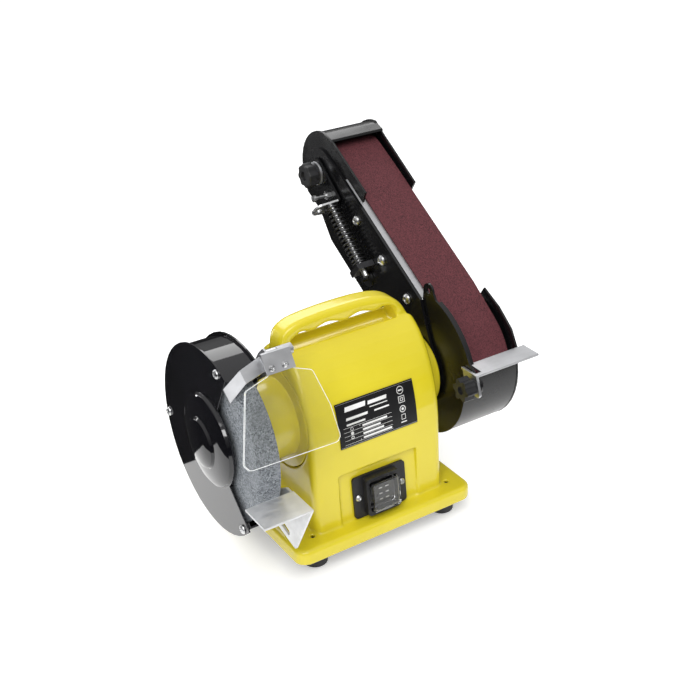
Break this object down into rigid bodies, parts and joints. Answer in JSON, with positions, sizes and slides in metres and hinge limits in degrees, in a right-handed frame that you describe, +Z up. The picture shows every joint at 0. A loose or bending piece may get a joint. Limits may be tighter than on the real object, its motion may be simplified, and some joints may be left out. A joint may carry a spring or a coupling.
{
  "type": "belt grinder",
  "caption": "Bench grinder with a guarded grinding wheel, clear eye shield and tool rest at one end and a tilting, spring-tensioned abrasive belt at the other.",
  "frame": {"origin": "under the middle of the whole object, on the bench that the feet stand on", "axes": "+X along the motor shaft towards the belt, -Y out of the front with the switch, +Z up"},
  "size_m": [0.2964, 0.3044, 0.301],
  "materials": {
    "yellow_paint": "smooth gloss enamel",
    "black_paint": "smooth gloss enamel",
    "bright_steel": "zinc plated",
    "brushed_steel": "brushed",
    "dark_steel": "oiled",
    "grey_abrasive": "coarse bonded grit",
    "belt_abrasive": "coated grit on cloth",
    "clear_plastic": "clear polycarbonate",
    "black_plastic": "moulded",
    "rubber": "moulded",
    "copper": "enamelled wire",
    "aluminium": "cast and turned"
  },
  "bodies": {
    "frame": {"housing": "yellow_paint", "bottom_plate": "dark_steel", "foot_front_left": "rubber", "foot_front_right": "rubber", "foot_back_left": "rubber", "foot_back_right": "rubber", "cable_gland": "black_plastic", "nameplate": "black_plastic", "switch_plate": "black_plastic", "switch_screw_left": "bright_steel", "switch_screw_right": "bright_steel", "switch_cover": "clear_plastic", "stator": "dark_steel", "windings": "copper", "bearing_left": "brushed_steel", "bearing_right": "brushed_steel", "capacitor": "black_plastic", "end_bell_left": "yellow_paint", "end_bell_right": "yellow_paint", "wheel_guard": "black_paint", "wheel_guard_cover": "black_paint", "guard_screw_1": "bright_steel", "guard_screw_2": "bright_steel", "guard_screw_3": "bright_steel", "arrestor_screw": "bright_steel", "tool_rest_bolt": "bright_steel", "pivot_ring": "bright_steel"},
    "spindle": {"motor_shaft": "brushed_steel", "rotor": "dark_steel", "wheel_flange_inner": "bright_steel", "grinding_wheel": "grey_abrasive", "wheel_flange_outer": "bright_steel", "wheel_nut": "bright_steel", "drive_wheel": "aluminium", "drive_wheel_nut": "bright_steel"},
    "rocker": {"switch_rocker": "black_plastic"},
    "arrestor": {"spark_arrestor": "bright_steel", "shield_bracket": "bright_steel"},
    "shield": {"shield_clamp": "bright_steel", "eye_shield": "clear_plastic", "shield_screw_1": "bright_steel", "shield_screw_2": "bright_steel"},
    "wheel_rest": {"tool_rest": "brushed_steel"},
    "arm": {"arm_plate": "black_paint", "platen": "brushed_steel", "platen_bolt_1": "bright_steel", "platen_bolt_2": "bright_steel", "platen_bolt_3": "bright_steel", "spring_seat": "bright_steel", "tension_spring": "dark_steel", "upper_hood": "black_paint", "belt_guard": "black_paint", "belt_guard_cover": "black_paint", "abrasive_belt": "belt_abrasive"},
    "carriage": {"tension_carriage": "black_paint", "roller_axle": "brushed_steel"},
    "roller": {"tracking_roller": "black_plastic"},
    "knob": {"tracking_knob": "black_plastic"},
    "table": {"belt_rest": "brushed_steel"},
    "table_knob": {"belt_rest_knob": "black_plastic"}
  },
  "joints": [
    {"name": "spindle_spin", "type": "hinge", "parent": "frame", "child": "spindle", "pos_m": [-0.00982, -0.0462, 0.1223], "axis": [1, 0, 0], "continuous": true},
    {"name": "roller_spin", "type": "hinge", "parent": "carriage", "child": "roller", "pos_m": [0.11288, 0.11321, 0.26205], "axis": [1, 0, 0], "continuous": true},
    {"name": "arm_tilt", "type": "hinge", "parent": "frame", "child": "arm", "pos_m": [-0.00982, -0.0462, 0.1223], "axis": [1, 0, 0], "range_deg": [-31.6, 58.4]},
    {"name": "tension_slide", "type": "slide", "parent": "arm", "child": "carriage", "axis": [0, 0.752, 0.6592], "range_m": [-0.008, 0], "stiffness_N_per_m": 800, "springref_m": 0.012, "deforming": ["tension_spring"]},
    {"name": "tracking_knob_turn", "type": "hinge", "parent": "carriage", "child": "knob", "pos_m": [0.11288, 0.11321, 0.26205], "axis": [1, 0, 0], "range_deg": [-180, 180]},
    {"name": "shield_tilt", "type": "hinge", "parent": "arrestor", "child": "shield", "pos_m": [-0.08982, -0.0882, 0.209], "axis": [-1, 0, 0], "range_deg": [-4, 60]},
    {"name": "arrestor_slide", "type": "slide", "parent": "frame", "child": "arrestor", "axis": [0, -0.5736, 0.8192], "range_m": [0, 0.007]},
    {"name": "wheel_rest_slide", "type": "slide", "parent": "frame", "child": "wheel_rest", "axis": [0, -0.9397, -0.342], "range_m": [-0.0015, 0.007]},
    {"name": "belt_rest_tilt", "type": "hinge", "parent": "arm", "child": "table", "pos_m": [0.07618, -0.1262, 0.14], "axis": [1, 0, 0], "range_deg": [-3, 25]},
    {"name": "table_knob_turn", "type": "hinge", "parent": "arm", "child": "table_knob", "pos_m": [0.07618, -0.1262, 0.14], "axis": [1, 0, 0], "range_deg": [-180, 180]},
    {"name": "switch_rocker_tilt", "type": "hinge", "parent": "frame", "child": "rocker", "pos_m": [-0.00302, -0.10085, 0.052], "axis": [-1, 0, 0], "range_deg": [0, 16]}
  ],
  "couplings": [
    {"joint": "roller_spin", "follows": "spindle_spin", "ratio": 2.3739}
  ]
}
